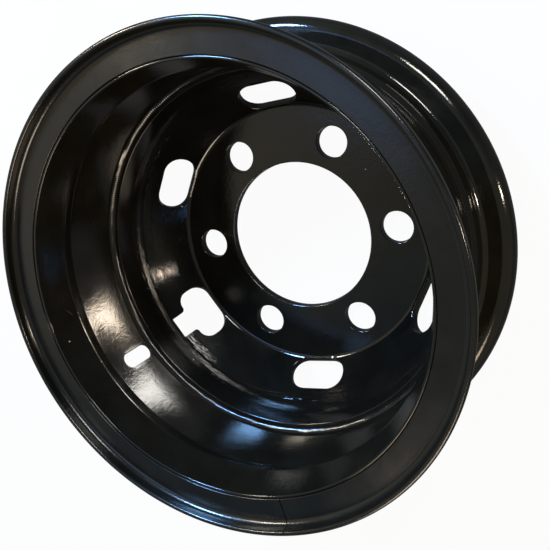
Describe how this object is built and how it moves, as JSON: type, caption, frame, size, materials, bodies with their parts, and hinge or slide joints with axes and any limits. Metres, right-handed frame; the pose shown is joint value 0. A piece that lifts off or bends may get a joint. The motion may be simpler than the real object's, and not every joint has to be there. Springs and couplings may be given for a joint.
{
  "type": "steel wheel",
  "caption": "Light-truck steel wheel: rolled rim base with a gutter, detachable side ring, and deep pressed disc with stud holes, hand holes and a valve notch, in gloss black paint.",
  "frame": {"origin": "on the wheel's axis in the plane of the disc's outer mounting face, which is the bottom centre of the box", "axes": "+Z along the axis from the outer mounting face to the deep side; -Y towards the valve slot"},
  "size_m": [0.4616, 0.4616, 0.2272],
  "materials": {
    "rim_paint": "gloss black paint over rolled steel, fine grain round the barrel",
    "ring_paint": "gloss black paint over rolled steel",
    "disc_paint": "gloss black paint over pressed steel, with runs at the holes",
    "weld_paint": "gloss black paint over a rippled weld"
  },
  "bodies": {
    "root": {"rim_base": "rim_paint", "side_ring": "ring_paint", "disc": "disc_paint", "weld_bead": "weld_paint"}
  },
  "joints": []
}
